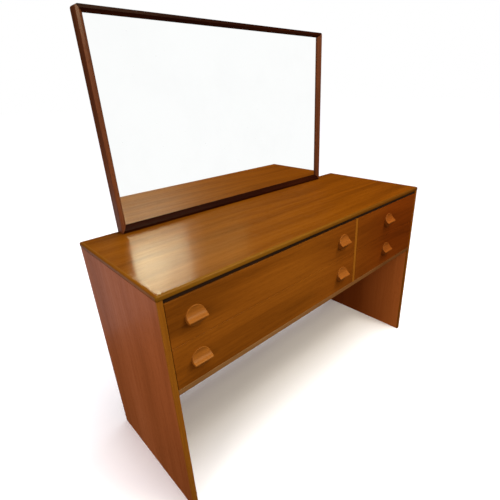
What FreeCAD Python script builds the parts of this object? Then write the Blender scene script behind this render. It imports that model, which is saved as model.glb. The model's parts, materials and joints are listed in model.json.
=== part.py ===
import FreeCAD, Part
import math
import os

from FreeCAD import Vector

# Dressing table with a framed mirror.  +X is to the right, +Y to the back, +Z up, in millimetres.
# The origin is on the floor, midway between the sides, and midway between the noses of the pulls
# and the backs of the mirror supports.

# ---- table, overall ----
width = 1220.0              # table top, end to end
depth = 458.0               # table top, front to back
height = 723.0              # floor to the top surface
case_bottom = 432.0         # floor to the underside of the drawer case

# ---- boards ----
top_thick = 15.0
panel_thick = 15.0          # side panels and partition
bottom_thick = 16.0
back_thick = 4.0
back_rebate = 7.0           # how far the back panel is let into each side panel
lip_thick = 6.0             # solid wood lipping on the front edges of the boards
end_lip_thick = 8.0         # solid wood lipping on the ends of the top
end_overhang = 1.0          # top past the side panels
front_overhang = 2.0        # top past the fronts of the panels and drawers
top_upper_round = 5.5       # rounding of the top's upper edge
top_lower_round = 4.0       # rounding of the top's lower edge
top_corner_round = 6.0      # rounding of the top's two front corners, in plan
lip_round = 1.6             # rounding of the other lippings

# ---- rails under the top ----
front_rail_recess = 4.0     # rail behind the drawer faces
front_rail_deep = 46.0
front_rail_clear = 1.0      # between the rail and the upper drawer fronts
rear_rail_thick = 18.0
rear_rail_high = 52.0

# ---- drawers ----
partition_x = 158.0         # middle of the partition
shadow_gap = 11.5           # between the top and the upper drawer fronts; the rail fills it
front_gap = 1.0             # around a drawer front
row_gap = 0.8               # between an upper drawer front and the lower one
front_thick = 18.0
front_round = 0.8
side_gap = 1.0              # between a drawer side and the bay wall
side_thick = 12.0
side_above_front_edge = 9.0     # drawer side's lower edge above the front's lower edge
side_below_front_edge = 13.0    # drawer side's upper edge below the front's upper edge
drawer_back_thick = 10.0
drawer_back_drop = 5.0      # drawer back below the sides' upper edges
drawer_bottom_thick = 4.0
drawer_bottom_up = 7.0      # drawer bottom above the sides' lower edges
drawer_bottom_let_in = 5.0
drawer_rear_space = 14.0    # between a drawer and the rear rail
tail_count = 3
tail_long = 12.0            # lapped dovetails into the drawer front
tail_share = 0.5            # tail's width at its root, as a share of the tail spacing
tail_slope = 1.0 / 6.0

# ---- runners: strips on the bay walls that run in grooves in the drawer sides ----
runner_high = 10.0
runner_reach = 6.0          # into the groove, past the drawer side's outer face
runner_clear = 0.5          # clearance all round in the groove
runner_front_space = 30.0   # front end of a runner, behind the drawer front's inner face
runner_rear_space = 6.0     # rear end of a runner, before the rear rail

# ---- pulls ----
pull_radius = 27.5
pull_depth = 18.5
pull_rim = 3.5              # thickness left at the top and bottom of the disc
pull_crest_low = 3.5        # upper edge of the ridge below the middle
pull_band_low = 7.5         # lower edge of the ridge below the middle
pull_scoop_radius = 27.0
pull_under_radius = 34.0
pull_edge_round = 1.5
wide_pull_inset = 72.0      # middle of a pull from the end of a wide drawer front

# ---- mirror ----
mirror_width = 958.0
mirror_height = 601.0
mirror_offset = -14.0       # the mirror's middle, left of the table's middle
frame_deep = 36.0
stile_wide = 18.0
top_rail_wide = 16.0
bottom_rail_wide = 23.0
frame_flat = 8.0            # flat front of the frame, outside the splay
frame_splay_deep = 10.0     # depth of the splay at the glass
frame_corner_round = 8.0
splay_to_glass = 3.0        # square edge between the splay and the glass
frame_lip = 6.0             # frame over the edge of the glass
glass_thick = 4.0
glass_clear = 0.5
backing_thick = 3.0
support_wide = 40.0
support_thick = 16.0
support_span = 520.0        # between the middles of the two supports
support_top_drop = 1.0      # support's end below the top of the frame

# ---- fasteners ----
dowel_radius = 4.0
dowel_half = 11.0           # dowel's length into each board
dowel_edge_space = 45.0     # first and last dowel from the ends of a joint
dowels_along = 3            # in a joint that runs front to back
screw_radius = 2.0
frame_screw_radius = 1.5     # into the narrow rails of the mirror frame
screw_head_share = 2.0       # head's radius, as a share of the shank's
support_screw_long = 36.0
frame_screw_long = 30.0
runner_screw_long = 14.0
runner_screw_inset = 40.0    # end screws from the ends of a runner
runner_screws = 3            # in each runner
pull_screw_long = 27.0
pin_radius = 0.8
pin_head_radius = 1.6
pin_head_high = 0.6
back_pin_long = 12.0
back_pin_edge = 10.0        # end pins from the top and from the bottom board
back_pin_inset = 90.0       # end pins of the bottom row from the side panels
back_pins_up = 4            # in each upright row
back_pins_across = 7        # in the bottom row
backing_pin_long = 14.0
backing_pin_in = 8.0        # length of a backing pin inside the frame
backing_pin_end_up = 60.0   # end pins of an upright row from the edges of the glass
backing_pin_end_across = 80.0
backing_pins_up = 4
backing_pins_across = 6

# ---- places worked out from the sizes above ----
pull_stand = pull_depth - front_overhang
top_front = -(pull_stand + depth + support_thick) / 2 + pull_stand
top_back = top_front + depth
face_y = top_front + front_overhang                 # plane of the drawer faces
top_under = height - top_thick
panel_outer = width / 2 - end_overhang
panel_inner = panel_outer - panel_thick
bottom_upper = case_bottom + bottom_thick
back_inner = top_back - back_thick
rear_rail_front = back_inner - rear_rail_thick
front_rail_y = face_y + front_rail_recess
front_rail_high = shadow_gap - front_rail_clear
front_rail_under = top_under - front_rail_high
drawers_top = top_under - shadow_gap
drawer_high = (drawers_top - bottom_upper - front_gap - row_gap) / 2
box_front = face_y + front_thick
box_back = rear_rail_front - drawer_rear_space
mirror_front = top_back - frame_deep
mirror_top = height + mirror_height
glass_front = mirror_front + frame_splay_deep + splay_to_glass
backing_front = glass_front + glass_thick

bays = {
    "wide": (-panel_inner, partition_x - panel_thick / 2),
    "narrow": (partition_x + panel_thick / 2, panel_inner),
}
rows = {
    "upper": drawers_top - drawer_high,
    "lower": bottom_upper + front_gap,
}
frame_wide = {
    "left": stile_wide,
    "right": stile_wide,
    "top": top_rail_wide,
    "bottom": bottom_rail_wide,
}

nodes = {}


def box(x, y, z):
    """Box between the two values of each axis."""
    size = (x[1] - x[0], y[1] - y[0], z[1] - z[0])
    return Part.makeBox(*size, Vector(x[0], y[0], z[0]))


def prism(points, direction):
    """Solid swept from a closed outline along a direction."""
    outline = Part.makePolygon([Vector(*p) for p in points] + [Vector(*points[0])])
    return Part.Face(outline).extrude(Vector(*direction))


def rod(start, direction, radius, length):
    return Part.makeCylinder(radius, length, Vector(*start), Vector(*direction))


def screw(start, direction, length, radius=screw_radius):
    """Countersunk wood screw; start is the middle of its head."""
    wide = radius * screw_head_share
    head = Part.makeCone(wide, radius, wide - radius, Vector(*start), Vector(*direction))
    return head.fuse(rod(start, direction, radius, length)).removeSplitter()


def pin(start, direction, length):
    """Panel pin; start is under its head, which stands outside."""
    away = [-value for value in direction]
    head = rod(start, away, pin_head_radius, pin_head_high)
    return head.fuse(rod(start, direction, pin_radius, length)).removeSplitter()


def spread(low, high, count):
    """Evenly spaced values from low to high."""
    return [low + (high - low) * i / (count - 1) for i in range(count)]


def group(solids):
    return Part.makeCompound(solids)


def rounded(shape, radius, wanted):
    """Round the straight edges whose middle point passes a test."""
    edges = [edge for edge in shape.Edges if wanted(edge.CenterOfMass)]
    return shape.makeFillet(radius, edges)


def same(a, b):
    return abs(a - b) < 0.01


# ---------------------------------------------------------------- table top

def make_top():
    half = width / 2
    slab = box((-half, half), (top_front, top_back), (top_under, height))
    slab = rounded(slab, top_corner_round,
                   lambda c: same(abs(c.x), half) and same(c.y, top_front))
    shown = lambda c: not same(c.y, top_back)
    slab = rounded(slab, top_upper_round, lambda c: same(c.z, height) and shown(c))
    slab = rounded(slab, top_lower_round, lambda c: same(c.z, top_under) and shown(c))
    inner = half - end_lip_thick
    levels = (top_under, height)
    behind = (top_front + lip_thick, top_back)
    nodes["top_board"] = slab.common(box((-inner, inner), behind, levels))
    nodes["top_front_lipping"] = slab.common(box((-half, half), (top_front, behind[0]), levels))
    nodes["top_left_lipping"] = slab.common(box((-half, -inner), behind, levels))
    nodes["top_right_lipping"] = slab.common(box((inner, half), behind, levels))


# ---------------------------------------------------------------- case

def lipping(x, z):
    """Solid strip on a board's front edge, with its two long front edges rounded."""
    strip = box(x, (face_y, face_y + lip_thick), z)
    upright = z[1] - z[0] > x[1] - x[0]
    front = lambda c: same(c.y, face_y)
    if upright:
        return rounded(strip, lip_round, lambda c: front(c) and (same(c.x, x[0]) or same(c.x, x[1])))
    return rounded(strip, lip_round, lambda c: front(c) and (same(c.z, z[0]) or same(c.z, z[1])))


def make_back_panel():
    reach = panel_inner + back_rebate
    nodes["back_panel"] = box((-reach, reach), (back_inner, top_back), (case_bottom, top_under))


def make_side_panels():
    for name, sign in (("left", -1), ("right", 1)):
        x = sorted((sign * panel_inner, sign * panel_outer))
        board = box(x, (face_y + lip_thick, top_back), (0, top_under))
        nodes[name + "_side_panel"] = board.cut(nodes["back_panel"])
        nodes[name + "_panel_lipping"] = lipping(x, (0, top_under))


def make_bottom_board():
    x = (-panel_inner, panel_inner)
    levels = (case_bottom, bottom_upper)
    nodes["bottom_board"] = box(x, (face_y + lip_thick, back_inner), levels)
    nodes["bottom_lipping"] = lipping(x, levels)


def make_top_rails():
    x = (-panel_inner, panel_inner)
    front = (front_rail_y, front_rail_y + front_rail_deep)
    nodes["front_top_rail"] = box(x, front, (front_rail_under, top_under))
    rear = (rear_rail_front, back_inner)
    nodes["rear_top_rail"] = box(x, rear, (top_under - rear_rail_high, top_under))


def make_partition():
    x = (partition_x - panel_thick / 2, partition_x + panel_thick / 2)
    board = box(x, (face_y + lip_thick, back_inner), (bottom_upper, top_under))
    notch = box(x, (face_y, front_rail_y + front_rail_deep), (front_rail_under, top_under))
    nodes["centre_partition"] = board.cut([notch, nodes["rear_top_rail"]])
    nodes["partition_lipping"] = lipping(x, (bottom_upper, front_rail_under))


def make_dowels():
    """Dowels through the joints between the boards; each board is bored to match."""
    low = face_y + dowel_edge_space
    high = back_inner - dowel_edge_space
    along = spread(low, high, dowels_along)
    bottom_mid = (case_bottom + bottom_upper) / 2
    rail_mid_y = front_rail_y + front_rail_deep / 2
    rear_mid_y = (rear_rail_front + back_inner) / 2
    dowels = []
    for sign in (-1, 1):
        x = sign * panel_inner
        start = x - dowel_half
        for y in along:
            dowels.append(rod((start, y, bottom_mid), (1, 0, 0), dowel_radius, 2 * dowel_half))
        for y, drop in ((rail_mid_y, front_rail_high / 2), (rear_mid_y, rear_rail_high / 2)):
            place = (start, y, top_under - drop)
            dowels.append(rod(place, (1, 0, 0), dowel_radius, 2 * dowel_half))
        for y in along:
            middle = sign * (panel_inner + panel_outer) / 2
            place = (middle, y, top_under - dowel_half)
            dowels.append(rod(place, (0, 0, 1), dowel_radius, dowel_half + top_thick / 2))
    for y in along:
        place = (partition_x, y, bottom_upper - bottom_thick / 2)
        dowels.append(rod(place, (0, 0, 1), dowel_radius, bottom_thick / 2 + dowel_half))
    nodes["case_dowels"] = group(dowels)
    boards = ("left_side_panel", "right_side_panel", "bottom_board", "centre_partition",
              "front_top_rail", "rear_top_rail", "top_board", "top_left_lipping",
              "top_right_lipping")
    for name in boards:
        nodes[name] = nodes[name].cut(dowels)


def make_back_pins():
    pins = []
    inset = back_rebate / 2
    for x in spread(-panel_inner - inset, panel_inner + inset, 2):
        for z in spread(bottom_upper + back_pin_edge, top_under - back_pin_edge, back_pins_up):
            pins.append(pin((x, top_back, z), (0, -1, 0), back_pin_long))
    bottom_mid = (case_bottom + bottom_upper) / 2
    for x in spread(-panel_inner + back_pin_inset, panel_inner - back_pin_inset, back_pins_across):
        pins.append(pin((x, top_back, bottom_mid), (0, -1, 0), back_pin_long))
    nodes["back_panel_pins"] = group(pins)
    for name in ("back_panel", "left_side_panel", "right_side_panel", "bottom_board"):
        nodes[name] = nodes[name].cut(pins)


# ---------------------------------------------------------------- runners

def side_levels(row):
    """Lower and upper edge of a drawer's sides."""
    low = rows[row] + side_above_front_edge
    return low, rows[row] + drawer_high - side_below_front_edge


def runner_level(row):
    """Lower edge of a runner: the runner is at the middle of the drawer side."""
    low, high = side_levels(row)
    return (low + high - runner_high) / 2


def make_runners():
    y = (box_front + runner_front_space, rear_rail_front - runner_rear_space)
    screws = []
    for bay, walls in bays.items():
        strips = []
        for wall, sign in zip(walls, (1, -1)):
            x = sorted((wall, wall + sign * (side_gap + runner_reach)))
            for row in rows:
                low = runner_level(row)
                strip = box(x, y, (low, low + runner_high))
                face = wall + sign * (side_gap + runner_reach)
                middle = low + runner_high / 2
                held = [screw((face, place, middle), (-sign, 0, 0), runner_screw_long)
                        for place in spread(y[0] + runner_screw_inset, y[1] - runner_screw_inset,
                                            runner_screws)]
                screws += held
                strips.append(strip.cut(held))
        nodes[bay + "_bay_runners"] = group(strips)
    nodes["runner_screws"] = group(screws)
    for name in ("left_side_panel", "right_side_panel", "centre_partition"):
        nodes[name] = nodes[name].cut(screws)


# ---------------------------------------------------------------- drawers

def tails(x, y_root, reach, levels):
    """Dovetails on the end of a drawer side; reach is their length, signed along Y."""
    spacing = (levels[1] - levels[0]) / tail_count
    root = spacing * tail_share / 2
    tip = root + abs(reach) * tail_slope
    shapes = []
    for i in range(tail_count):
        middle = levels[0] + spacing * (i + 0.5)
        outline = [
            (x[0], y_root, middle - root),
            (x[0], y_root + reach, middle - tip),
            (x[0], y_root + reach, middle + tip),
            (x[0], y_root, middle + root),
        ]
        shapes.append(prism(outline, (x[1] - x[0], 0, 0)))
    return shapes


def make_drawer(bay, row):
    name = bay + "_" + row + "_drawer_"
    bay_x = bays[bay]
    low = rows[row]
    levels = side_levels(row)
    front_x = (bay_x[0] + front_gap, bay_x[1] - front_gap)
    outer = (bay_x[0] + side_gap, bay_x[1] - side_gap)
    inner = (outer[0] + side_thick, outer[1] - side_thick)
    under = levels[0] + drawer_bottom_up
    let_in = drawer_bottom_let_in
    bottom = box((inner[0] - let_in, inner[1] + let_in),
                 (box_front - let_in, box_back),
                 (under, under + drawer_bottom_thick))
    back_levels = (under + drawer_bottom_thick, levels[1] - drawer_back_drop)
    groove_low = runner_level(row) - runner_clear
    groove = (groove_low, groove_low + runner_high + 2 * runner_clear)
    groove_y = (box_front + runner_front_space - runner_clear, box_back)
    groove_deep = runner_reach + runner_clear
    sides = []
    for x, wall, sign in ((sorted((outer[0], inner[0])), outer[0], 1),
                          (sorted((outer[1], inner[1])), outer[1], -1)):
        body = box(x, (box_front, box_back - drawer_back_thick), levels)
        under_back = box(x, (box_back - drawer_back_thick, box_back), (levels[0], back_levels[0]))
        joints = tails(x, box_front, -tail_long, levels)
        joints += tails(x, box_back - drawer_back_thick, drawer_back_thick, back_levels)
        body = body.fuse(joints + [under_back]).removeSplitter()
        slot = box(sorted((wall, wall + sign * groove_deep)), groove_y, groove)
        sides.append(body.cut([slot, bottom]))
    front = box(front_x, (face_y, box_front), (low, low + drawer_high))
    front = rounded(front, front_round, lambda c: same(c.y, face_y))
    back = box(outer, (box_back - drawer_back_thick, box_back), back_levels)
    slots = [box(sorted((wall, wall + sign * groove_deep)), groove_y, groove)
             for wall, sign in zip(outer, (1, -1))]
    nodes[name + "bottom"] = bottom
    nodes[name + "left_side"] = sides[0]
    nodes[name + "right_side"] = sides[1]
    nodes[name + "back"] = back.cut(sides + slots)
    nodes[name + "front"] = front.cut(sides + [bottom])
    fit_pulls(name, front_x, low + drawer_high / 2, bay == "wide")


# ---------------------------------------------------------------- pulls

def arc_cutter(near, far, radius, x_middle):
    """Cylinder along X that passes through two (y, z) points and hollows the wood between them."""
    mid = ((near[0] + far[0]) / 2, (near[1] + far[1]) / 2)
    chord = math.hypot(far[0] - near[0], far[1] - near[1])
    rise = math.sqrt(radius ** 2 - (chord / 2) ** 2)
    normal = ((far[1] - near[1]) / chord, -(far[0] - near[0]) / chord)
    if normal[0] > 0:
        normal = (-normal[0], -normal[1])
    centre = (mid[0] + normal[0] * rise, mid[1] + normal[1] * rise)
    reach = 2 * pull_radius
    return rod((x_middle - reach / 2, centre[0], centre[1]), (1, 0, 0), radius, reach)


def make_pull(x, z):
    """Round pull: a disc with a level ridge across it, scooped above and eased below."""
    disc = rod((x, face_y, z), (0, -1, 0), pull_radius, pull_depth)
    disc = rounded(disc, pull_edge_round, lambda c: same(c.y, face_y - pull_depth))
    nose = face_y - pull_depth
    rim = face_y - pull_rim
    scoop = arc_cutter((nose, z - pull_crest_low), (rim, z + pull_radius), pull_scoop_radius, x)
    under = arc_cutter((nose, z - pull_band_low), (rim, z - pull_radius), pull_under_radius, x)
    return disc.cut([scoop, under])


def fit_pulls(name, front_x, z, pair):
    places = {"": sum(front_x) / 2}
    if pair:
        places = {"left_": front_x[0] + wide_pull_inset, "right_": front_x[1] - wide_pull_inset}
    screws = []
    for side, x in places.items():
        held = screw((x, box_front, z), (0, -1, 0), pull_screw_long)
        screws.append(held)
        nodes[name + side + "pull"] = make_pull(x, z).cut(held)
    nodes[name + "pull_screws"] = group(screws)
    nodes[name + "front"] = nodes[name + "front"].cut(screws)


# ---------------------------------------------------------------- mirror

def frame_member(side, outer, size):
    """One mitred member of the frame, before its outer corners are rounded.

    side is the outer edge that the member follows: left, right, top or bottom.
    """
    x0, x1, z0, z1 = outer
    back = top_back
    section = [
        (0, mirror_front),
        (frame_flat, mirror_front),
        (size, mirror_front + frame_splay_deep),
        (size, glass_front),
        (size - frame_lip, glass_front),
        (size - frame_lip, back),
        (0, back),
    ]
    if side in ("left", "right"):
        sign = 1 if side == "left" else -1
        edge = x0 if side == "left" else x1
        outline = [(edge + sign * u, y, z0) for u, y in section]
        return prism(outline, (0, 0, z1 - z0))
    sign = 1 if side == "bottom" else -1
    edge = z0 if side == "bottom" else z1
    outline = [(x0, y, edge + sign * u) for u, y in section]
    return prism(outline, (x1 - x0, 0, 0))


def mitre_wedge(side, outer):
    """Region of one member, bounded by the mitre planes from the outer corners."""
    x0, x1, z0, z1 = outer
    outside = {"low left": (x0, z0), "low right": (x1, z0), "high left": (x0, z1), "high right": (x1, z1)}
    a0, a1 = x0 + stile_wide, x1 - stile_wide
    b0, b1 = z0 + bottom_rail_wide, z1 - top_rail_wide
    inside = {"low left": (a0, b0), "low right": (a1, b0), "high left": (a0, b1), "high right": (a1, b1)}
    ends = {"left": ("low left", "high left"), "right": ("low right", "high right"),
            "top": ("high left", "high right"), "bottom": ("low left", "low right")}
    first, second = ends[side]
    flat = [outside[first], inside[first], inside[second], outside[second]]
    return prism([(x, mirror_front, z) for x, z in flat], (0, frame_deep, 0))


def make_mirror_frame():
    x0 = mirror_offset - mirror_width / 2
    x1 = mirror_offset + mirror_width / 2
    z0, z1 = height, mirror_top
    outer = (x0, x1, z0, z1)
    envelope = box((x0, x1), (mirror_front, top_back), (z0, z1))
    envelope = rounded(envelope, frame_corner_round,
                       lambda c: same(c.z, z1) and (same(c.x, x0) or same(c.x, x1)))
    names = {"left": "mirror_left_stile", "right": "mirror_right_stile",
             "top": "mirror_top_rail", "bottom": "mirror_bottom_rail"}
    for side, name in names.items():
        member = frame_member(side, outer, frame_wide[side])
        nodes[name] = member.common(mitre_wedge(side, outer)).common(envelope)
    slip = frame_lip - glass_clear
    glass_x = (x0 + stile_wide - slip, x1 - stile_wide + slip)
    glass_z = (z0 + bottom_rail_wide - slip, z1 - top_rail_wide + slip)
    nodes["mirror_glass"] = box(glass_x, (glass_front, backing_front), glass_z)
    nodes["mirror_backing_board"] = box(glass_x, (backing_front, backing_front + backing_thick), glass_z)
    make_backing_pins(glass_x, glass_z)


def make_backing_pins(glass_x, glass_z):
    """Headless pins driven into the frame, flat against the backing board."""
    y = backing_front + backing_thick + pin_radius
    pins = []
    free = backing_pin_long - backing_pin_in
    for x, sign in zip((glass_x[0] - glass_clear, glass_x[1] + glass_clear), (1, -1)):
        for z in spread(glass_z[0] + backing_pin_end_up, glass_z[1] - backing_pin_end_up,
                        backing_pins_up):
            pins.append(rod((x + sign * free, y, z), (-sign, 0, 0), pin_radius, backing_pin_long))
    for z, sign in zip((glass_z[0] - glass_clear, glass_z[1] + glass_clear), (1, -1)):
        for x in spread(glass_x[0] + backing_pin_end_across, glass_x[1] - backing_pin_end_across,
                        backing_pins_across):
            pins.append(rod((x, y, z + sign * free), (0, 0, -sign), pin_radius, backing_pin_long))
    nodes["mirror_backing_pins"] = group(pins)
    for name in ("mirror_left_stile", "mirror_right_stile", "mirror_top_rail", "mirror_bottom_rail"):
        nodes[name] = nodes[name].cut(pins)


def make_supports():
    """Two upright battens behind, screwed to the case and to the mirror frame."""
    low = top_under - rear_rail_high
    high = mirror_top - support_top_drop
    rear = top_back + support_thick
    screws = []
    for name, sign in (("mirror_left_support", -1), ("mirror_right_support", 1)):
        middle = mirror_offset + sign * support_span / 2
        x = (middle - support_wide / 2, middle + support_wide / 2)
        batten = box(x, (top_back, rear), (low, high))
        corner = lambda c: same(c.y, rear) and (same(c.x, x[0]) or same(c.x, x[1]))
        batten = rounded(batten, lip_round, corner)
        held = []
        for side in (-1, 1):
            place = (middle + side * support_wide / 4, rear, low + rear_rail_high / 2)
            held.append(screw(place, (0, -1, 0), support_screw_long))
        for z in (height + (bottom_rail_wide - frame_lip) / 2,
                  mirror_top - (top_rail_wide - frame_lip) / 2):
            held.append(screw((middle, rear, z), (0, -1, 0), frame_screw_long, frame_screw_radius))
        nodes[name] = batten.cut(held)
        screws += held
    nodes["mirror_screws"] = group(screws)
    for name in ("back_panel", "rear_top_rail", "mirror_top_rail", "mirror_bottom_rail"):
        nodes[name] = nodes[name].cut(screws)


def export():
    os.makedirs("parts", exist_ok=True)
    for name, shape in nodes.items():
        bad = not shape.isValid() or any(solid.Volume <= 0 for solid in shape.Solids)
        print(name, len(shape.Solids), "solids", round(shape.Volume / 1000, 1), "cm3", "BAD" if bad else "")
        shape.exportStep("parts/" + name + ".step")
    whole = group(list(nodes.values())).BoundBox
    print(len(nodes), "nodes; box", [round(v, 2) for v in (whole.XMin, whole.XMax, whole.YMin,
                                                           whole.YMax, whole.ZMin, whole.ZMax)])


make_top()
make_back_panel()
make_side_panels()
make_bottom_board()
make_top_rails()
make_partition()
make_dowels()
make_back_pins()
make_runners()
for bay in bays:
    for row in rows:
        make_drawer(bay, row)
make_mirror_frame()
make_supports()
export()
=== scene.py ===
import json
import math

import bmesh
import bpy
from mathutils import Matrix, Vector


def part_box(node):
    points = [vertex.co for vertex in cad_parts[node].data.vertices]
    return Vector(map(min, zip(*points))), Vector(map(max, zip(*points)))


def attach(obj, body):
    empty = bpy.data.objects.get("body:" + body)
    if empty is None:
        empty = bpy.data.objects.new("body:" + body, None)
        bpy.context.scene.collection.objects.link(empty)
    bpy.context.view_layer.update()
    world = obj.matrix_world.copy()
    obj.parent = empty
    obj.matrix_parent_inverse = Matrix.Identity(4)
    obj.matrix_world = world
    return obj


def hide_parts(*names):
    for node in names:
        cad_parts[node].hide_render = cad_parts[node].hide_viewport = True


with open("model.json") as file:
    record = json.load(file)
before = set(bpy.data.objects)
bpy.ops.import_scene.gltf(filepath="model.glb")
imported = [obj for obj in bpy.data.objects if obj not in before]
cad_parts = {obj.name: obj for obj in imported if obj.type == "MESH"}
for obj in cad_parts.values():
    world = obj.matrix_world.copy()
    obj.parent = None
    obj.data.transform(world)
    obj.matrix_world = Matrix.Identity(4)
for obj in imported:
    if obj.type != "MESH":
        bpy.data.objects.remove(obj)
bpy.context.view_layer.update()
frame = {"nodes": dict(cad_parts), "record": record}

nodes = frame["nodes"]
bodyOf = {part: body for body, parts in frame["record"]["behaviour"]["bodies"].items() for part in parts}
slotOf = {part: node.data.materials[0].name for part, node in nodes.items()}
mm = 0.001
print("dressing table: frame loaded,", len(nodes), "parts")


def addObject(name, data):
    thing = bpy.data.objects.new(name, data)
    bpy.context.scene.collection.objects.link(thing)
    return thing


# small helpers for building node trees

def addNode(tree, kind, values=None, **settings):
    node = tree.nodes.new(kind)
    for name, value in settings.items():
        setattr(node, name, value)
    for key, value in (values or {}).items():
        if isinstance(value, bpy.types.NodeSocket):
            tree.links.new(value, node.inputs[key])
        else:
            node.inputs[key].default_value = value
    return node


def calc(tree, operation, *values):
    node = addNode(tree, "ShaderNodeMath", dict(enumerate(values)), operation=operation)
    return node.outputs[0]


def stretch(tree, vector, scale):
    return addNode(tree, "ShaderNodeMapping", {"Vector": vector, "Scale": scale}).outputs[0]


def noise(tree, vector, detail=2.0, roughness=0.5):
    values = {"Vector": vector, "Scale": 1.0, "Detail": detail, "Roughness": roughness}
    return addNode(tree, "ShaderNodeTexNoise", values).outputs[0]


def span(tree, value, low, high, toLow=0.0, toHigh=1.0):
    values = {"Value": value, "From Min": low, "From Max": high, "To Min": toLow, "To Max": toHigh}
    return addNode(tree, "ShaderNodeMapRange", values).outputs[0]


def blendColour(tree, share, first, second, kind="MIX"):
    node = addNode(tree, "ShaderNodeMix", data_type="RGBA", blend_type=kind)
    for index, value in ((0, share), (6, first), (7, second)):
        if isinstance(value, bpy.types.NodeSocket):
            tree.links.new(value, node.inputs[index])
        else:
            node.inputs[index].default_value = value
    return node.outputs[2]


def colourRamp(tree, value, stops):
    node = addNode(tree, "ShaderNodeValToRGB", {0: value})
    ramp = node.color_ramp
    while len(ramp.elements) < len(stops):
        ramp.elements.new(0.5)
    for element, (place, colour) in zip(ramp.elements, stops):
        element.position = place
        element.color = (*colour, 1.0)
    return node.outputs[0]


def newMaterial(name, shader):
    material = bpy.data.materials.new(name)
    material.use_nodes = True
    principled = material.node_tree.nodes["Principled BSDF"]
    for key, value in shader.items():
        principled.inputs[key].default_value = value
    return material, material.node_tree, principled


def addBump(tree, principled, height, distance, strength):
    values = {"Height": height, "Distance": distance, "Strength": strength}
    bump = addNode(tree, "ShaderNodeBump", values)
    tree.links.new(bump.outputs[0], principled.inputs["Normal"])


# wood: rings, fibre streaks and pores run along one axis of the board

quarterTurn = math.pi / 2
grainTurns = {"x": (0, 0, 0), "y": (0, 0, quarterTurn), "z": (0, quarterTurn, 0)}

# how fine each layer of the grain is: along the board, then the two ways across it
grainScale = {
    "wander": (1.7, 4, 4),
    "streaks": (2.2, 75, 75),
    "fibres": (9, 420, 420),
    "broad": (0.9, 5, 5),
    "pores": (36, 1000, 1000),
    "rings": (0.16, 1, 1),
}

plainWood = {
    "grain": "x",
    "start": (0.0, 0.0, 0.0),      # which part of the log the board comes from
    "dark": (0.20, 0.065, 0.010),
    "mid": (0.33, 0.125, 0.018),
    "light": (0.45, 0.19, 0.035),
    "rings": 0.22,                 # share of the colour that comes from the growth rings
    "streaks": 0.34,
    "fibres": 0.16,
    "ringScale": 4.0,
    "ringWander": 9.0,
    "wander": 12.0,                # mm, how far a fibre strays from the straight
    "pores": 0.30,                 # how dark the open pores are
    "roughness": 0.46,
    "gloss": 0.14,
    "lacquer": 0.05,
    "lacquerRoughness": 0.18,
    "relief": 0.06,                # mm, depth of the pores
    "end": None,                   # (axis, from, to, colour): a board that darkens along its length
}


def woodMaterial(name, **look):
    look = {**plainWood, **look}
    shader = {"Coat Weight": look["lacquer"], "Coat Roughness": look["lacquerRoughness"],
              "Specular IOR Level": look["gloss"]}
    material, tree, principled = newMaterial(name, shader)
    place = addNode(tree, "ShaderNodeTexCoord").outputs["Object"]
    values = {"Vector": place, "Location": look["start"], "Rotation": grainTurns[look["grain"]]}
    along = addNode(tree, "ShaderNodeMapping", values).outputs[0]

    def layer(key, detail, roughness=0.5, low=0.3, high=0.7, toLow=0.0, toHigh=1.0):
        grain = noise(tree, stretch(tree, along, grainScale[key]), detail, roughness)
        return span(tree, grain, low, high, toLow, toHigh)

    stray = look["wander"] * mm
    wander = layer("wander", 2, toLow=-stray, toHigh=stray)
    offset = addNode(tree, "ShaderNodeCombineXYZ", {"Y": wander, "Z": wander}).outputs[0]
    along = addNode(tree, "ShaderNodeVectorMath", {0: along, 1: offset}, operation="ADD").outputs[0]

    ringValues = {"Vector": stretch(tree, along, grainScale["rings"]), "Scale": look["ringScale"],
                  "Distortion": look["ringWander"], "Detail": 2.0, "Detail Scale": 1.6}
    rings = addNode(tree, "ShaderNodeTexWave", ringValues, bands_direction="Y").outputs["Fac"]
    streaks = layer("streaks", 4, 0.6)
    fibres = layer("fibres", 3, 0.6)
    broad = layer("broad", 2)
    pores = layer("pores", 1, low=0.60, high=0.70)

    tone = calc(tree, "MULTIPLY", rings, look["rings"])
    tone = calc(tree, "MULTIPLY_ADD", streaks, look["streaks"], tone)
    tone = calc(tree, "MULTIPLY_ADD", fibres, look["fibres"], tone)
    rest = max(0.0, 1.0 - look["rings"] - look["streaks"] - look["fibres"])
    tone = calc(tree, "MULTIPLY_ADD", broad, rest, tone)
    stops = [(0.12, look["dark"]), (0.50, look["mid"]), (0.88, look["light"])]
    colour = colourRamp(tree, tone, stops)
    if look["end"]:
        axis, low, high, tint = look["end"]
        split = addNode(tree, "ShaderNodeSeparateXYZ", {0: place}).outputs[axis]
        share = span(tree, split, low, high)
        colour = blendColour(tree, share, colour, blendColour(tree, 1.0, colour, (*tint, 1.0), "MULTIPLY"))
    dark = tuple(0.35 * value for value in look["dark"])
    colour = blendColour(tree, calc(tree, "MULTIPLY", pores, look["pores"]), colour, (*dark, 1.0))
    tree.links.new(colour, principled.inputs["Base Color"])

    rough = span(tree, streaks, 0, 1, look["roughness"] + 0.05, look["roughness"] - 0.04)
    rough = calc(tree, "MULTIPLY_ADD", pores, 0.15, rough)
    tree.links.new(rough, principled.inputs["Roughness"])
    height = calc(tree, "MULTIPLY_ADD", fibres, 0.25, calc(tree, "SUBTRACT", 1.0, pores))
    addBump(tree, principled, height, look["relief"] * mm, 0.6)
    return material


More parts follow.
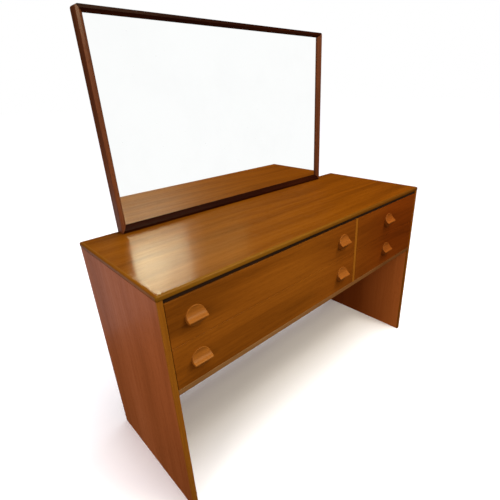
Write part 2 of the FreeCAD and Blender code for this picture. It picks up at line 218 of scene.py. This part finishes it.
def hardboardMaterial(name, colour, dark):
    material, tree, principled = newMaterial(name, {"Coat Weight": 0.0})
    place = addNode(tree, "ShaderNodeTexCoord").outputs["Object"]
    felt = span(tree, noise(tree, stretch(tree, place, (420, 420, 420)), 4, 0.7), 0.35, 0.65)
    clouds = span(tree, noise(tree, stretch(tree, place, (7, 7, 7)), 3), 0.3, 0.7)
    share = calc(tree, "MULTIPLY_ADD", felt, 0.55, calc(tree, "MULTIPLY", clouds, 0.45))
    tree.links.new(colourRamp(tree, share, [(0.1, dark), (0.9, colour)]), principled.inputs["Base Color"])
    weave = []
    for direction in ("X", "Z"):      # the print of the wire screen on the rough face
        values = {"Vector": place, "Scale": 115.0, "Distortion": 0.6}
        weave.append(addNode(tree, "ShaderNodeTexWave", values, bands_direction=direction).outputs["Fac"])
    screen = calc(tree, "MULTIPLY", *weave)
    height = calc(tree, "MULTIPLY_ADD", felt, 0.5, screen)
    addBump(tree, principled, height, 0.25 * mm, 0.7)
    tree.links.new(span(tree, felt, 0, 1, 0.72, 0.9), principled.inputs["Roughness"])
    return material


def steelMaterial(name, colour, roughness):
    material, tree, principled = newMaterial(name, {"Metallic": 1.0})
    place = addNode(tree, "ShaderNodeTexCoord").outputs["Object"]
    spots = span(tree, noise(tree, stretch(tree, place, (600, 600, 600)), 3, 0.6), 0.3, 0.7)
    dull = tuple(0.55 * value for value in colour)
    tree.links.new(colourRamp(tree, spots, [(0.2, dull), (0.8, colour)]), principled.inputs["Base Color"])
    tree.links.new(span(tree, spots, 0, 1, roughness + 0.15, roughness), principled.inputs["Roughness"])
    addBump(tree, principled, spots, 0.03 * mm, 0.5)
    return material


def mirrorMaterial(name):
    material, tree, principled = newMaterial(name, {"Metallic": 1.0, "Roughness": 0.0})
    place = addNode(tree, "ShaderNodeTexCoord").outputs["Object"]
    film = span(tree, noise(tree, stretch(tree, place, (5, 5, 5)), 5, 0.65), 0.45, 0.75)
    specks = span(tree, noise(tree, stretch(tree, place, (260, 260, 260)), 2), 0.74, 0.80)
    silver = colourRamp(tree, film, [(0.0, (0.975, 0.985, 0.98)), (1.0, (0.95, 0.96, 0.955))])
    silver = blendColour(tree, calc(tree, "MULTIPLY", specks, 0.35), silver, (0.45, 0.44, 0.42, 1.0))
    tree.links.new(silver, principled.inputs["Base Color"])
    return material


def tones(red, green, blue, contrast=0.22):
    return {"dark": tuple(value * (1 - contrast * 1.3) for value in (red, green * 0.94, blue * 0.8)),
            "mid": (red, green, blue),
            "light": tuple(value * (1 + contrast) for value in (red, green * 1.08, blue * 1.25))}


teak = {
    "top": dict(start=(0.2, 0.11, 0.0), end=(0, -0.2, 0.6, (0.96, 0.84, 0.80)), lacquer=0.24,
                lacquerRoughness=0.17, gloss=0.10, streaks=0.28, **tones(0.150, 0.041, 0.0010, 0.32)),
    "front": dict(start=(1.3, 0.4, 0.63), end=(0, -0.1, 0.40, (0.64, 0.40, 0.30)), gloss=0.12, lacquer=0.04,
                  streaks=0.26, **tones(0.204, 0.059, 0.004, 0.34)),
    "panel": dict(grain="z", start=(0.5, 1.7, 0.2), rings=0.10, streaks=0.20,
                  **tones(0.318, 0.092, 0.028, 0.20)),
    # right panel: paler than the left panel as painted light at its front, and darkened towards the back
    # with painted shade where the case shades it
    "rightPanelPaintedLightAndShade": dict(grain="z", start=(1.6, 0.9, 0.7), rings=0.10, streaks=0.20,
                       end=(1, -0.24, 0.02, (0.38, 0.28, 0.14)), **tones(0.50, 0.136, 0.026, 0.20)),
    "uprightLipping": dict(grain="z", start=(2.1, 0.2, 0.3), rings=0.2, gloss=0.10, lacquer=0.04,
                           end=(0, -0.2, 0.3, (0.84, 0.74, 0.60)), **tones(0.262, 0.092, 0.008)),
    "topLipping": dict(start=(0.9, 2.2, 1.1), rings=0.2, end=(0, -0.5, 0.3, (0.62, 0.48, 0.50)),
                       **tones(0.165, 0.066, 0.004)),
    "endLipping": dict(grain="y", start=(0.4, 2.9, 0.1), rings=0.2, **tones(0.17, 0.055, 0.003)),
    # bottom board's front lipping: its paler, greyer tone is partly its own wood and partly painted
    # reflection of the pale floor
    "bottomLippingAndSheen": dict(start=(1.9, 0.2, 1.1), rings=0.2, end=(0, -0.4, 0.4, (0.60, 0.45, 0.35)),
                          **tones(0.255, 0.124, 0.045)),
    "pull": dict(start=(0.1, 0.7, 2.4), rings=0.25, ringScale=12.0, lacquer=0.06, lacquerRoughness=0.25,
                 end=(0, -0.3, 0.4, (0.75, 0.58, 0.55)), **tones(0.23, 0.074, 0.009)),
    "frame": dict(dark=(0.060, 0.017, 0.008), mid=(0.125, 0.036, 0.014), light=(0.20, 0.062, 0.022),
                  rings=0.25, pores=0.5, lacquer=0.10),
    # the mirror's top and bottom rails: the frame's wood made near-black, painted shade for their shadowed
    # faces
    "shadedFrameRail": dict(dark=(0.009, 0.001, 0.0005), mid=(0.018, 0.003, 0.001), light=(0.036, 0.007, 0.002),
                      rings=0.25, pores=0.5, lacquer=0.01, gloss=0.05),
}
beech = dict(dark=(0.42, 0.25, 0.125), mid=(0.52, 0.33, 0.18), light=(0.60, 0.41, 0.24), rings=0.2)
materials = {
    "teak_top": woodMaterial("teakTop", **teak["top"]),
    "teak_drawer_front": woodMaterial("teakDrawerFront", **teak["front"]),
    "teak_panel": woodMaterial("teakPanel", **teak["panel"]),
    "teak_lipping": woodMaterial("teakUprightLipping", **teak["uprightLipping"]),
    "teak_pull": woodMaterial("teakPull", **teak["pull"]),
    # the front rail under the top is near-black: painted shade for the shadowed gap between the top and the
    # drawers
    "dark_rail": woodMaterial("paintedShadeRail", start=(0.3, 0.2, 0.9), dark=(0.010, 0.005, 0.003),
                              mid=(0.018, 0.009, 0.006), light=(0.03, 0.015, 0.01), lacquer=0.1),
    "mirror_frame_wood": woodMaterial("stainedStile", grain="z", start=(0.2, 0.3, 0.9), **teak["frame"]),
    "beech": woodMaterial("beechBatten", grain="z", start=(0.0, 3.1, 0.4), lacquer=0.05, roughness=0.6,
                          **beech),
    "drawer_oak": woodMaterial("oakDrawerSide", grain="y", start=(0.6, 0.1, 2.2),
                               dark=(0.36, 0.21, 0.095), mid=(0.50, 0.32, 0.155),
                               light=(0.60, 0.42, 0.22), lacquer=0.15, roughness=0.5),
    "drawer_plywood": woodMaterial("birchPly", start=(1.4, 2.6, 0.2), dark=(0.52, 0.35, 0.19),
                                   mid=(0.62, 0.45, 0.26), light=(0.70, 0.53, 0.33), lacquer=0.1,
                                   roughness=0.55, ringScale=5.0, ringWander=11.0, pores=0.15),
    "hardboard": hardboardMaterial("hardboard", (0.30, 0.17, 0.085), (0.15, 0.08, 0.04)),
    "mirror_silvering": mirrorMaterial("silveredGlass"),
    "screw_steel": steelMaterial("zincedSteel", (0.62, 0.60, 0.56), 0.28),
    "pin_steel": steelMaterial("brightPin", (0.55, 0.55, 0.55), 0.32),
}
# nodes that don't take the finish of their slot
special = {
    "top_front_lipping": woodMaterial("teakTopLipping", **teak["topLipping"]),
    "top_left_lipping": woodMaterial("teakEndLipping", **teak["endLipping"]),
    # bottom lipping, with painted floor reflection in its tone
    "bottom_lipping": woodMaterial("teakBottomLippingAndSheen", **teak["bottomLippingAndSheen"]),
    # right panel with painted light at the front and painted shade towards the back
    "right_side_panel": woodMaterial("teakRightPanelPaintedLightAndShade", **teak["rightPanelPaintedLightAndShade"]),
    "bottom_board": woodMaterial("teakBottomBoard", **{**teak["panel"], "grain": "x"}),
    "rear_top_rail": woodMaterial("beechRail", start=(0.7, 0.1, 0.2), lacquer=0.0, roughness=0.65, **beech),
}
special["top_right_lipping"] = special["top_left_lipping"]
# the frame's rails take the painted-shade copy of the frame's wood
shadedFrameRail = woodMaterial("frameRailPaintedShade", start=(1.2, 0.6, 0.1), **teak["shadedFrameRail"])
special["mirror_top_rail"] = special["mirror_bottom_rail"] = shadedFrameRail

finish = {part: special.get(part, materials[slotOf[part]]) for part in nodes}
for part, node in nodes.items():
    for materialSlot in node.material_slots:
        materialSlot.material = finish[part]
print("dressing table: finishes on", len(nodes), "parts")


def place(name, mesh, part, replaced, smoothAngle=30):
    mesh.polygons.foreach_set("use_smooth", [True] * len(mesh.polygons))
    mesh.set_sharp_from_angle(angle=math.radians(smoothAngle))
    mesh.materials.clear()
    mesh.materials.append(finish[part])
    piece = addObject(name, mesh)
    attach(piece, bodyOf[part])
    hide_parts(*replaced)


# turned pulls: a disc with a level ridge, scooped above the ridge and eased below it

pullShape = {
    "rim": 3.5 * mm,             # thickness at the top and the foot of the disc
    "crest": -3.5 * mm,          # upper edge of the ridge, from the middle
    "bandFoot": 7.5 * mm,        # lower edge of the ridge, below the middle
    "scoopRadius": 27.0 * mm,
    "underRadius": 34.0 * mm,
    "crestSoft": 1.6 * mm,       # how softly the scoop meets the ridge
    "footSoft": 1.2 * mm,
    "edgeRound": 1.4 * mm,
    "rows": 84,
    "columns": 44,
    "sideRings": 3,
    "smoothAngle": 40,
}


def hollow(value, near, far, radius):
    # height of an arc that sinks between two (place, height) points
    chord = Vector((far[0] - near[0], far[1] - near[1]))
    middle = Vector(((near[0] + far[0]) / 2, (near[1] + far[1]) / 2))
    normal = Vector((-chord.y, chord.x)).normalized()
    if normal.y < 0:
        normal = -normal
    centre = middle + normal * math.sqrt(radius ** 2 - (chord.length / 2) ** 2)
    return centre.y - math.sqrt(max(0.0, radius ** 2 - (value - centre.x) ** 2))


def softLower(a, b, soft):
    share = max(soft - abs(a - b), 0.0) / soft
    return min(a, b) - share * share * soft / 4


def pullHeight(across, up, radius, depth):
    shape = pullShape
    scoop = hollow(up, (shape["crest"], depth), (radius, shape["rim"]), shape["scoopRadius"])
    under = hollow(up, (-shape["bandFoot"], depth), (-radius, shape["rim"]), shape["underRadius"])
    if up < shape["crest"] - 3 * shape["crestSoft"]:
        scoop = depth + shape["crestSoft"]
    if up > -shape["bandFoot"] + 3 * shape["footSoft"]:
        under = depth + shape["footSoft"]
    height = softLower(depth, scoop, shape["crestSoft"])
    height = softLower(height, under, shape["footSoft"])
    toEdge = max(0.0, shape["edgeRound"] - (radius - math.hypot(across, up)))
    return height - shape["edgeRound"] + math.sqrt(max(0.0, shape["edgeRound"] ** 2 - toEdge ** 2))


def eased(share):
    return math.sin(share * math.pi / 2)


def makePull(part):
    low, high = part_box(part)
    middle = (low + high) / 2
    radius, depth = (high.x - low.x) / 2, high.y - low.y
    rows, columns = pullShape["rows"], pullShape["columns"]
    bm = bmesh.new()
    grid = []
    for row in range(1, rows):
        up = radius * eased(2 * row / rows - 1)
        half = math.sqrt(radius ** 2 - up ** 2)
        line = []
        for column in range(columns + 1):
            across = half * eased(2 * column / columns - 1)
            front = high.y - pullHeight(across, up, radius, depth)
            line.append(bm.verts.new((middle.x + across, front, middle.z + up)))
        grid.append(line)
    ends = []
    for sign in (-1, 1):
        front = high.y - pullHeight(0, sign * radius, radius, depth)
        ends.append(bm.verts.new((middle.x, front, middle.z + sign * radius)))
    for below, above in zip(grid, grid[1:]):
        for i in range(columns):
            bm.faces.new((below[i], below[i + 1], above[i + 1], above[i]))
    for i in range(columns):
        bm.faces.new((ends[0], grid[0][i + 1], grid[0][i]))
        bm.faces.new((ends[1], grid[-1][i], grid[-1][i + 1]))
    rim = [line[0] for line in grid] + [ends[1]] + [line[-1] for line in reversed(grid)] + [ends[0]]
    rings = [rim]
    for k in range(1, pullShape["sideRings"] + 1):
        share = k / pullShape["sideRings"]
        ring = [bm.verts.new((v.co.x, v.co.y + (high.y - v.co.y) * share, v.co.z)) for v in rim]
        rings.append(ring)
    for near, far in zip(rings, rings[1:]):
        for i in range(len(rim)):
            j = (i + 1) % len(rim)
            bm.faces.new((near[i], near[j], far[j], far[i]))
    bm.faces.new(rings[-1])
    bmesh.ops.recalc_face_normals(bm, faces=bm.faces)
    mesh = bpy.data.meshes.new(part)
    bm.to_mesh(mesh)
    bm.free()
    place("turned_" + part, mesh, part, [part], pullShape["smoothAngle"])


pulls = [part for part in sorted(nodes) if part.endswith("pull")]
for part in pulls:
    makePull(part)
print("dressing table: turned", len(pulls), "pulls")


# boards whose long edges are eased with a few strokes of sandpaper

easing = {
    "weld": 0.01 * mm,
    "flat": math.radians(0.5),
    "sharp": 0.3,                # radians between two faces whose edge is eased
    "segments": 3,
    "straight": 0.999,           # share of an edge's length that runs along its axis
}


def solidCopy(part):
    bm = bmesh.new()
    bm.from_mesh(nodes[part].data)
    bmesh.ops.remove_doubles(bm, verts=bm.verts, dist=easing["weld"])
    bmesh.ops.dissolve_limit(bm, angle_limit=easing["flat"], verts=bm.verts, edges=bm.edges, delimit=set())
    return bm


def easedBoard(part, name, radius, wanted):
    bm = solidCopy(part)
    edges = [edge for edge in bm.edges if wanted(edge) and edge.calc_face_angle(0) > easing["sharp"]]
    bmesh.ops.bevel(bm, geom=edges, offset=radius, segments=easing["segments"], profile=0.5,
                    affect="EDGES", clamp_overlap=True)
    mesh = bpy.data.meshes.new(name)
    bm.to_mesh(mesh)
    bm.free()
    place(name, mesh, part, [part])


def runsAlong(edge, axis, atLeast):
    step = edge.verts[1].co - edge.verts[0].co
    return abs(step[axis]) > easing["straight"] * step.length and step.length > atLeast


mirrorFrame = {"round": 0.9 * mm, "shortest": 0.3}


def easeFrame(side, kind, axis):
    def wanted(edge):
        return runsAlong(edge, axis, mirrorFrame["shortest"])

    easedBoard(f"mirror_{side}_{kind}", f"{side}_frame_{kind}", mirrorFrame["round"], wanted)


easeFrame("left", "stile", 2)
easeFrame("right", "stile", 2)
easeFrame("top", "rail", 0)
easeFrame("bottom", "rail", 0)
print("dressing table: mirror frame eased")

drawerSides = {"round": 1.6 * mm, "shortest": 0.05, "level": 0.05 * mm}


def easeDrawerSide(part):
    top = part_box(part)[1].z

    def wanted(edge):
        upper = abs(edge.verts[0].co.z - top) < drawerSides["level"]
        return upper and runsAlong(edge, 1, drawerSides["shortest"])

    easedBoard(part, "oak_" + part, drawerSides["round"], wanted)


for part in sorted(nodes):
    if part.endswith(("_left_side", "_right_side")) and "drawer" in part:
        easeDrawerSide(part)
print("dressing table: drawer sides eased")


# screws and pins: each CAD fastener gives one point, and a node tree puts a finished one there

fasteners = {
    "headShare": 2.0,            # head's radius, as a share of the shank's
    "screwHead": 1.0,            # head's height, as a share of the shank's radius
    "pinHead": 0.75,
    "sides": 32,
    "slotWidth": 0.7 * mm,
    "slotDepth": 0.6 * mm,
    "endDepth": 0.2 * mm,        # how much of a CAD fastener's end is measured for its width
    "smoothAngle": 40,
    "seed": 7,
}


def loosePoints(part):
    # one (head, heading, length, shank radius) for each loose solid of a CAD node
    bm = solidCopy(part)
    found = []
    left = set(bm.verts)
    while left:
        group, waiting = set(), [left.pop()]
        while waiting:
            vertex = waiting.pop()
            group.add(vertex)
            for edge in vertex.link_edges:
                other = edge.other_vert(vertex)
                if other in left:
                    left.discard(other)
                    waiting.append(other)
        spots = [vertex.co for vertex in group]
        low = Vector(min(spot[i] for spot in spots) for i in range(3))
        high = Vector(max(spot[i] for spot in spots) for i in range(3))
        size = high - low
        axis = max(range(3), key=lambda i: size[i])
        middle = (low + high) / 2
        others = [i for i in range(3) if i != axis]
        widths = []
        for end in (low, high):
            near = [spot for spot in spots if abs(spot[axis] - end[axis]) < fasteners["endDepth"]]
            widths.append(max(abs((spot - middle)[i]) for spot in near for i in others))
        headHigh = widths[1] > widths[0]
        head = middle.copy()
        head[axis] = high[axis] if headHigh else low[axis]
        heading = Vector((0, 0, 0))
        heading[axis] = -1.0 if headHigh else 1.0
        found.append((head, heading, size[axis], min(widths)))
    bm.free()
    return sorted(found, key=lambda item: tuple(round(value, 5) for value in item[0]))


def addInput(tree, name, kind, value=None):
    socket = tree.interface.new_socket(name, in_out="INPUT", socket_type=kind)
    if value is not None:
        socket.default_value = value


def vectorOf(tree, x, y, z):
    return addNode(tree, "ShaderNodeCombineXYZ", {"X": x, "Y": y, "Z": z}).outputs[0]


def fastenerTree(name, slotted):
    tree = bpy.data.node_groups.new(name, "GeometryNodeTree")
    addInput(tree, "Geometry", "NodeSocketGeometry")
    addInput(tree, "Head Height", "NodeSocketFloat", 0.5)
    addInput(tree, "Slot Width", "NodeSocketFloat", 0.35)
    addInput(tree, "Slot Depth", "NodeSocketFloat", 0.3)
    addInput(tree, "Sides", "NodeSocketInt", 32)
    addInput(tree, "Seed", "NodeSocketInt", 1)
    addInput(tree, "Material", "NodeSocketMaterial")
    tree.interface.new_socket("Geometry", in_out="OUTPUT", socket_type="NodeSocketGeometry")
    given = addNode(tree, "NodeGroupInput").outputs

    # a head is made for a shank of radius one, and sized by each point's own radius
    headRadius = fasteners["headShare"]
    coneValues = {"Vertices": given["Sides"], "Radius Bottom": headRadius,
                  "Radius Top": 1.0 if slotted else headRadius, "Depth": given["Head Height"]}
    head = addNode(tree, "GeometryNodeMeshCone", coneValues).outputs["Mesh"]
    if slotted:
        twice = calc(tree, "MULTIPLY", given["Slot Depth"], 2.0)
        cutterSize = vectorOf(tree, 3 * headRadius, given["Slot Width"], twice)
        cutter = addNode(tree, "GeometryNodeMeshCube", {"Size": cutterSize}).outputs["Mesh"]
        head = addNode(tree, "GeometryNodeMeshBoolean", {"Mesh 1": head, "Mesh 2": cutter},
                       operation="DIFFERENCE").outputs["Mesh"]
    shankValues = {"Vertices": given["Sides"], "Radius": 1.0, "Depth": 1.0}
    shank = addNode(tree, "GeometryNodeMeshCylinder", shankValues).outputs["Mesh"]
    lowered = {"Geometry": shank, "Translation": (0.0, 0.0, -0.5)}
    shank = addNode(tree, "GeometryNodeTransform", lowered).outputs[0]

    def named(attribute, kind):
        node = addNode(tree, "GeometryNodeInputNamedAttribute", {"Name": attribute}, data_type=kind)
        return node.outputs["Attribute"]

    heading = named("heading", "FLOAT_VECTOR")
    radius, length = named("radius", "FLOAT"), named("length", "FLOAT")
    aligned = addNode(tree, "FunctionNodeAlignRotationToVector", {"Vector": heading}, axis="Z").outputs[0]
    spinValues = {3: 2 * math.pi, "Seed": given["Seed"]}
    spin = addNode(tree, "FunctionNodeRandomValue", spinValues, data_type="FLOAT")
    turnValues = {"Axis": (0.0, 0.0, 1.0), "Angle": spin.outputs[1]}
    turn = addNode(tree, "FunctionNodeAxisAngleToRotation", turnValues).outputs[0]
    turned = addNode(tree, "FunctionNodeRotateRotation", {"Rotation": aligned, "Rotate By": turn},
                     rotation_space="LOCAL").outputs[0]
    headScale = vectorOf(tree, radius, radius, radius)
    bare = calc(tree, "SUBTRACT", length, calc(tree, "MULTIPLY", radius, given["Head Height"]))
    shankScale = vectorOf(tree, radius, radius, bare)
    reachValues = {0: heading, "Scale": length}
    reach = addNode(tree, "ShaderNodeVectorMath", reachValues, operation="SCALE").outputs[0]
    tipValues = {"Geometry": given["Geometry"], "Offset": reach}
    tips = addNode(tree, "GeometryNodeSetPosition", tipValues).outputs[0]
    joined = addNode(tree, "GeometryNodeJoinGeometry")
    for points, shape, scale in ((given["Geometry"], head, headScale), (tips, shank, shankScale)):
        values = {"Points": points, "Instance": shape, "Rotation": turned, "Scale": scale}
        placed = addNode(tree, "GeometryNodeInstanceOnPoints", values)
        tree.links.new(placed.outputs[0], joined.inputs[0])
    real = addNode(tree, "GeometryNodeRealizeInstances", {"Geometry": joined.outputs[0]}).outputs[0]
    finishValues = {"Geometry": real, "Material": given["Material"]}
    finished = addNode(tree, "GeometryNodeSetMaterial", finishValues).outputs[0]
    tree.links.new(finished, addNode(tree, "NodeGroupOutput").inputs[0])
    return tree


def setInput(modifier, name, value):
    for item in modifier.node_group.interface.items_tree:
        if item.item_type == "SOCKET" and item.in_out == "INPUT" and item.name == name:
            modifier[item.identifier] = value


def fitFasteners(name, parts, tree, material, headHeight):
    points = [point for part in parts for point in loosePoints(part)]
    mesh = bpy.data.meshes.new(name + "Points")
    mesh.from_pydata([point[0] for point in points], [], [])
    heading = mesh.attributes.new("heading", "FLOAT_VECTOR", "POINT")
    heading.data.foreach_set("vector", [value for point in points for value in point[1]])
    for key, index in (("length", 2), ("radius", 3)):
        values = mesh.attributes.new(key, "FLOAT", "POINT")
        values.data.foreach_set("value", [point[index] for point in points])
    holder = addObject(name + "Points", mesh)
    modifier = holder.modifiers.new("fasteners", "NODES")
    modifier.node_group = tree
    setInput(modifier, "Head Height", headHeight)
    shankRadius = points[0][3]
    setInput(modifier, "Slot Width", fasteners["slotWidth"] / shankRadius)
    setInput(modifier, "Slot Depth", fasteners["slotDepth"] / shankRadius)
    setInput(modifier, "Sides", fasteners["sides"])
    setInput(modifier, "Seed", fasteners["seed"])
    setInput(modifier, "Material", material)
    graph = bpy.context.evaluated_depsgraph_get()
    result = bpy.data.meshes.new_from_object(holder.evaluated_get(graph))
    holder.modifiers.clear()
    bpy.data.objects.remove(holder)
    result.name = name
    for extra in ("heading", "length", "radius"):
        if extra in result.attributes:
            result.attributes.remove(result.attributes[extra])
    place(name, result, parts[0], parts, fasteners["smoothAngle"])


screwKit = (fastenerTree("slottedScrews", True), materials["screw_steel"], fasteners["screwHead"])
pinKit = (fastenerTree("panelPins", False), materials["pin_steel"], fasteners["pinHead"])
fitFasteners("case_screws", ["mirror_screws", "runner_screws"], *screwKit)
for part in sorted(nodes):
    if part.endswith("pull_screws"):
        fitFasteners(part.replace("pull_screws", "screws"), [part], *screwKit)
fitFasteners("back_pins", ["back_panel_pins"], *pinKit)
print("dressing table: screws and pins in place")


# room: a pale floor, key lamps in front that the mirror throws back onto the top, a broad soft light
# overhead, and weak fills from the side, the front and the back

room = {
    "floorSize": 60.0,
    "floorColour": (0.95, 0.94, 0.98),
    "floorGlow": 0.06,
    "glowTint": (1.0, 0.92, 1.15),
    "wall": (1.0, 1.0, 1.0),            # what the camera and the looking glass see
    "soft": (0.12, 0.09, 0.07),         # what lights the table from all round
    "polish": (0.045, 0.025, 0.007),    # what the lacquer reflects
}


def makeSheet(name, corners, material):
    mesh = bpy.data.meshes.new(name)
    mesh.from_pydata(corners, [], [(0, 1, 2, 3)])
    mesh.materials.append(material)
    sheet = addObject(name, mesh)
    return sheet


def floorMaterial():
    material, tree, principled = newMaterial("paleFloor", {"Roughness": 0.9, "Specular IOR Level": 0.1})
    spot = addNode(tree, "ShaderNodeTexCoord").outputs["Object"]
    soft = span(tree, noise(tree, stretch(tree, spot, (3, 3, 3)), 4, 0.6), 0.3, 0.7)
    pale = room["floorColour"]
    shade = tuple(0.97 * value for value in pale)
    tree.links.new(colourRamp(tree, soft, [(0.0, shade), (1.0, pale)]), principled.inputs["Base Color"])
    principled.inputs["Emission Color"].default_value = (*room["glowTint"], 1.0)
    principled.inputs["Emission Strength"].default_value = room["floorGlow"]
    return material


def makeRoom():
    half = room["floorSize"] / 2
    corners = [(-half, -half, 0), (half, -half, 0), (half, half, 0), (-half, half, 0)]
    floor = makeSheet("floor", corners, floorMaterial())
    floor.visible_glossy = floor.visible_diffuse = False
    world = bpy.data.worlds.new("studio")
    bpy.context.scene.world = world
    world.use_nodes = True
    tree = world.node_tree
    ray = addNode(tree, "ShaderNodeLightPath").outputs
    first = calc(tree, "LESS_THAN", ray["Ray Depth"], 2.5)
    mirrored = calc(tree, "MULTIPLY", ray["Is Singular Ray"], first)
    seen = calc(tree, "MAXIMUM", ray["Is Camera Ray"], mirrored)
    soft = blendColour(tree, ray["Is Glossy Ray"], (*room["soft"], 1.0), (*room["polish"], 1.0))
    sky = blendColour(tree, seen, soft, (*room["wall"], 1.0))
    tree.links.new(sky, tree.nodes["Background"].inputs["Color"])


windowTint = (1.0, 0.94, 0.62)
lamps = {
    "keyLight": {"place": (0.18, -1.45, 1.80), "aim": (0.18, 0.0, 1.80), "size": (0.46, 0.62),
                 "watts": 15.0, "colour": windowTint, "inPolish": True},
    "keyMiddle": {"place": (0.54, -1.45, 1.80), "aim": (0.54, 0.0, 1.80), "size": (0.26, 0.62),
                  "watts": 5.4, "colour": windowTint, "inPolish": True},
    "keySpill": {"place": (1.02, -1.45, 1.85), "aim": (1.02, 0.0, 1.85), "size": (0.70, 0.50),
                 "watts": 1.4, "colour": (1.0, 0.80, 0.30), "inPolish": True},
    "highKey": {"place": (0.80, -1.15, 2.10), "aim": (0.10, -0.23, 0.60), "size": (0.35, 0.35),
                "watts": 17.0, "colour": (1.0, 0.95, 0.80), "inPolish": False},
    "sideFill": {"place": (-2.1, -0.5, 0.8), "aim": (-0.6, 0.0, 0.30), "size": (1.2, 0.9),
                 "watts": 21.0, "colour": (1.0, 0.88, 0.78), "inPolish": False},
    "lowFill": {"place": (-0.5, -1.9, 0.45), "aim": (0.6, 0.0, 0.2), "size": (0.6, 0.3),
                "watts": 7.0, "colour": (1.0, 0.90, 0.76), "inPolish": False},
    "rearFill": {"place": (0.2, 2.5, 1.1), "aim": (0.0, 0.2, 0.9), "size": (1.6, 1.0),
                 "watts": 12.0, "colour": (1.0, 0.97, 0.92), "inPolish": False},
}
overhead = {"strength": 3.2, "softness": 40.0, "colour": (0.97, 0.99, 1.0), "tilt": (8.0, 10.0)}


def makeLamp(name, look):
    light = bpy.data.lights.new(name, "AREA")
    light.shape = "RECTANGLE"
    light.size, light.size_y = look["size"]
    light.energy = look["watts"]
    light.color = look["colour"]
    lamp = addObject(name, light)
    lamp.location = look["place"]
    towards = Vector(look["aim"]) - Vector(look["place"])
    lamp.rotation_euler = towards.to_track_quat("-Z", "Y").to_euler()
    lamp.visible_camera = False
    lamp.visible_glossy = look["inPolish"]


# pale cards that only polished faces see: over the left end of the top, and beside the left panel
cards = {
    "backCard": {"x": (-0.16, 0.12), "y": (1.20, 1.20), "z": (1.42, 1.80), "glow": 4.0,
                 "colour": windowTint},
    "floorCard": {"x": (-2.60, -0.75), "y": (0.80, 3.50), "z": (0.01, 0.01), "glow": 0.55,
                  "colour": (0.92, 0.93, 1.0)},
}


def makeCard(name, look):
    x, y, z = look["x"], look["y"], look["z"]
    corners = [(x[0], y[0], z[0]), (x[1], y[0], z[0]), (x[1], y[1], z[1]), (x[0], y[1], z[1])]
    glow = {"Base Color": (0.0, 0.0, 0.0, 1.0), "Emission Color": (*look["colour"], 1.0),
            "Emission Strength": look["glow"]}
    card = makeSheet(name, corners, newMaterial(name, glow)[0])
    card.visible_camera = card.visible_diffuse = card.visible_shadow = card.visible_transmission = False


# a white blind in front of the key lamps, which only the looking glass sees, as plain wall
blind = {"x": (-0.30, 1.60), "y": -1.43, "z": (1.30, 2.30)}


def makeBlind():
    (left, right), y, (low, high) = blind["x"], blind["y"], blind["z"]
    corners = [(left, y, low), (right, y, low), (right, y, high), (left, y, high)]
    material = bpy.data.materials.new("blind")
    material.use_nodes = True
    material.cycles.emission_sampling = "NONE"
    tree = material.node_tree
    tree.nodes.remove(tree.nodes["Principled BSDF"])
    ray = addNode(tree, "ShaderNodeLightPath").outputs
    first = calc(tree, "LESS_THAN", ray["Ray Depth"], 1.5)
    mix = addNode(tree, "ShaderNodeMixShader")
    tree.links.new(calc(tree, "MULTIPLY", ray["Is Singular Ray"], first), mix.inputs[0])
    tree.links.new(addNode(tree, "ShaderNodeBsdfTransparent").outputs[0], mix.inputs[1])
    tree.links.new(addNode(tree, "ShaderNodeEmission").outputs[0], mix.inputs[2])
    tree.links.new(mix.outputs[0], tree.nodes["Material Output"].inputs["Surface"])
    screen = makeSheet("blind", corners, material)
    screen.visible_camera = screen.visible_diffuse = screen.visible_shadow = False


def makeLights():
    makeBlind()
    for name, look in cards.items():
        makeCard(name, look)
    for name, look in lamps.items():
        makeLamp(name, look)
    sun = bpy.data.lights.new("overhead", "SUN")
    sun.energy = overhead["strength"]
    sun.angle = math.radians(overhead["softness"])
    sun.color = overhead["colour"]
    lamp = addObject("overhead", sun)
    lamp.rotation_euler = [math.radians(value) for value in (*overhead["tilt"], 0.0)]
    lamp.visible_glossy = False


view = {
    "place": (-0.8903, -0.8845, 1.1193),
    "heading": 44.14,            # degrees from the depth of the table towards its right end
    "down": 24.0,
    "roll": -1.741,
    "lens": 26.13,
    "sensor": 36.0,
    "shift": (-0.0488, 0.0018),
    "clip": (0.05, 100.0),
}


def makeCamera():
    heading, down, roll = (math.radians(view[key]) for key in ("heading", "down", "roll"))
    ahead = math.cos(down)
    forward = Vector((math.sin(heading) * ahead, math.cos(heading) * ahead, -math.sin(down)))
    level = Vector((math.cos(heading), -math.sin(heading), 0.0))
    upright = level.cross(forward)
    right = level * math.cos(roll) + upright * math.sin(roll)
    top = upright * math.cos(roll) - level * math.sin(roll)
    camera = bpy.data.cameras.new("camera")
    camera.sensor_width = view["sensor"]
    camera.lens = view["lens"]
    camera.shift_x, camera.shift_y = view["shift"]
    camera.clip_start, camera.clip_end = view["clip"]
    holder = addObject("camera", camera)
    turn = Matrix((right, top, -forward)).transposed()
    holder.matrix_world = Matrix.Translation(view["place"]) @ turn.to_4x4()
    bpy.context.scene.camera = holder


makeRoom()
makeLights()
makeCamera()
bpy.context.scene.view_settings.view_transform = "Standard"
print("dressing table: room, lights and camera ready")
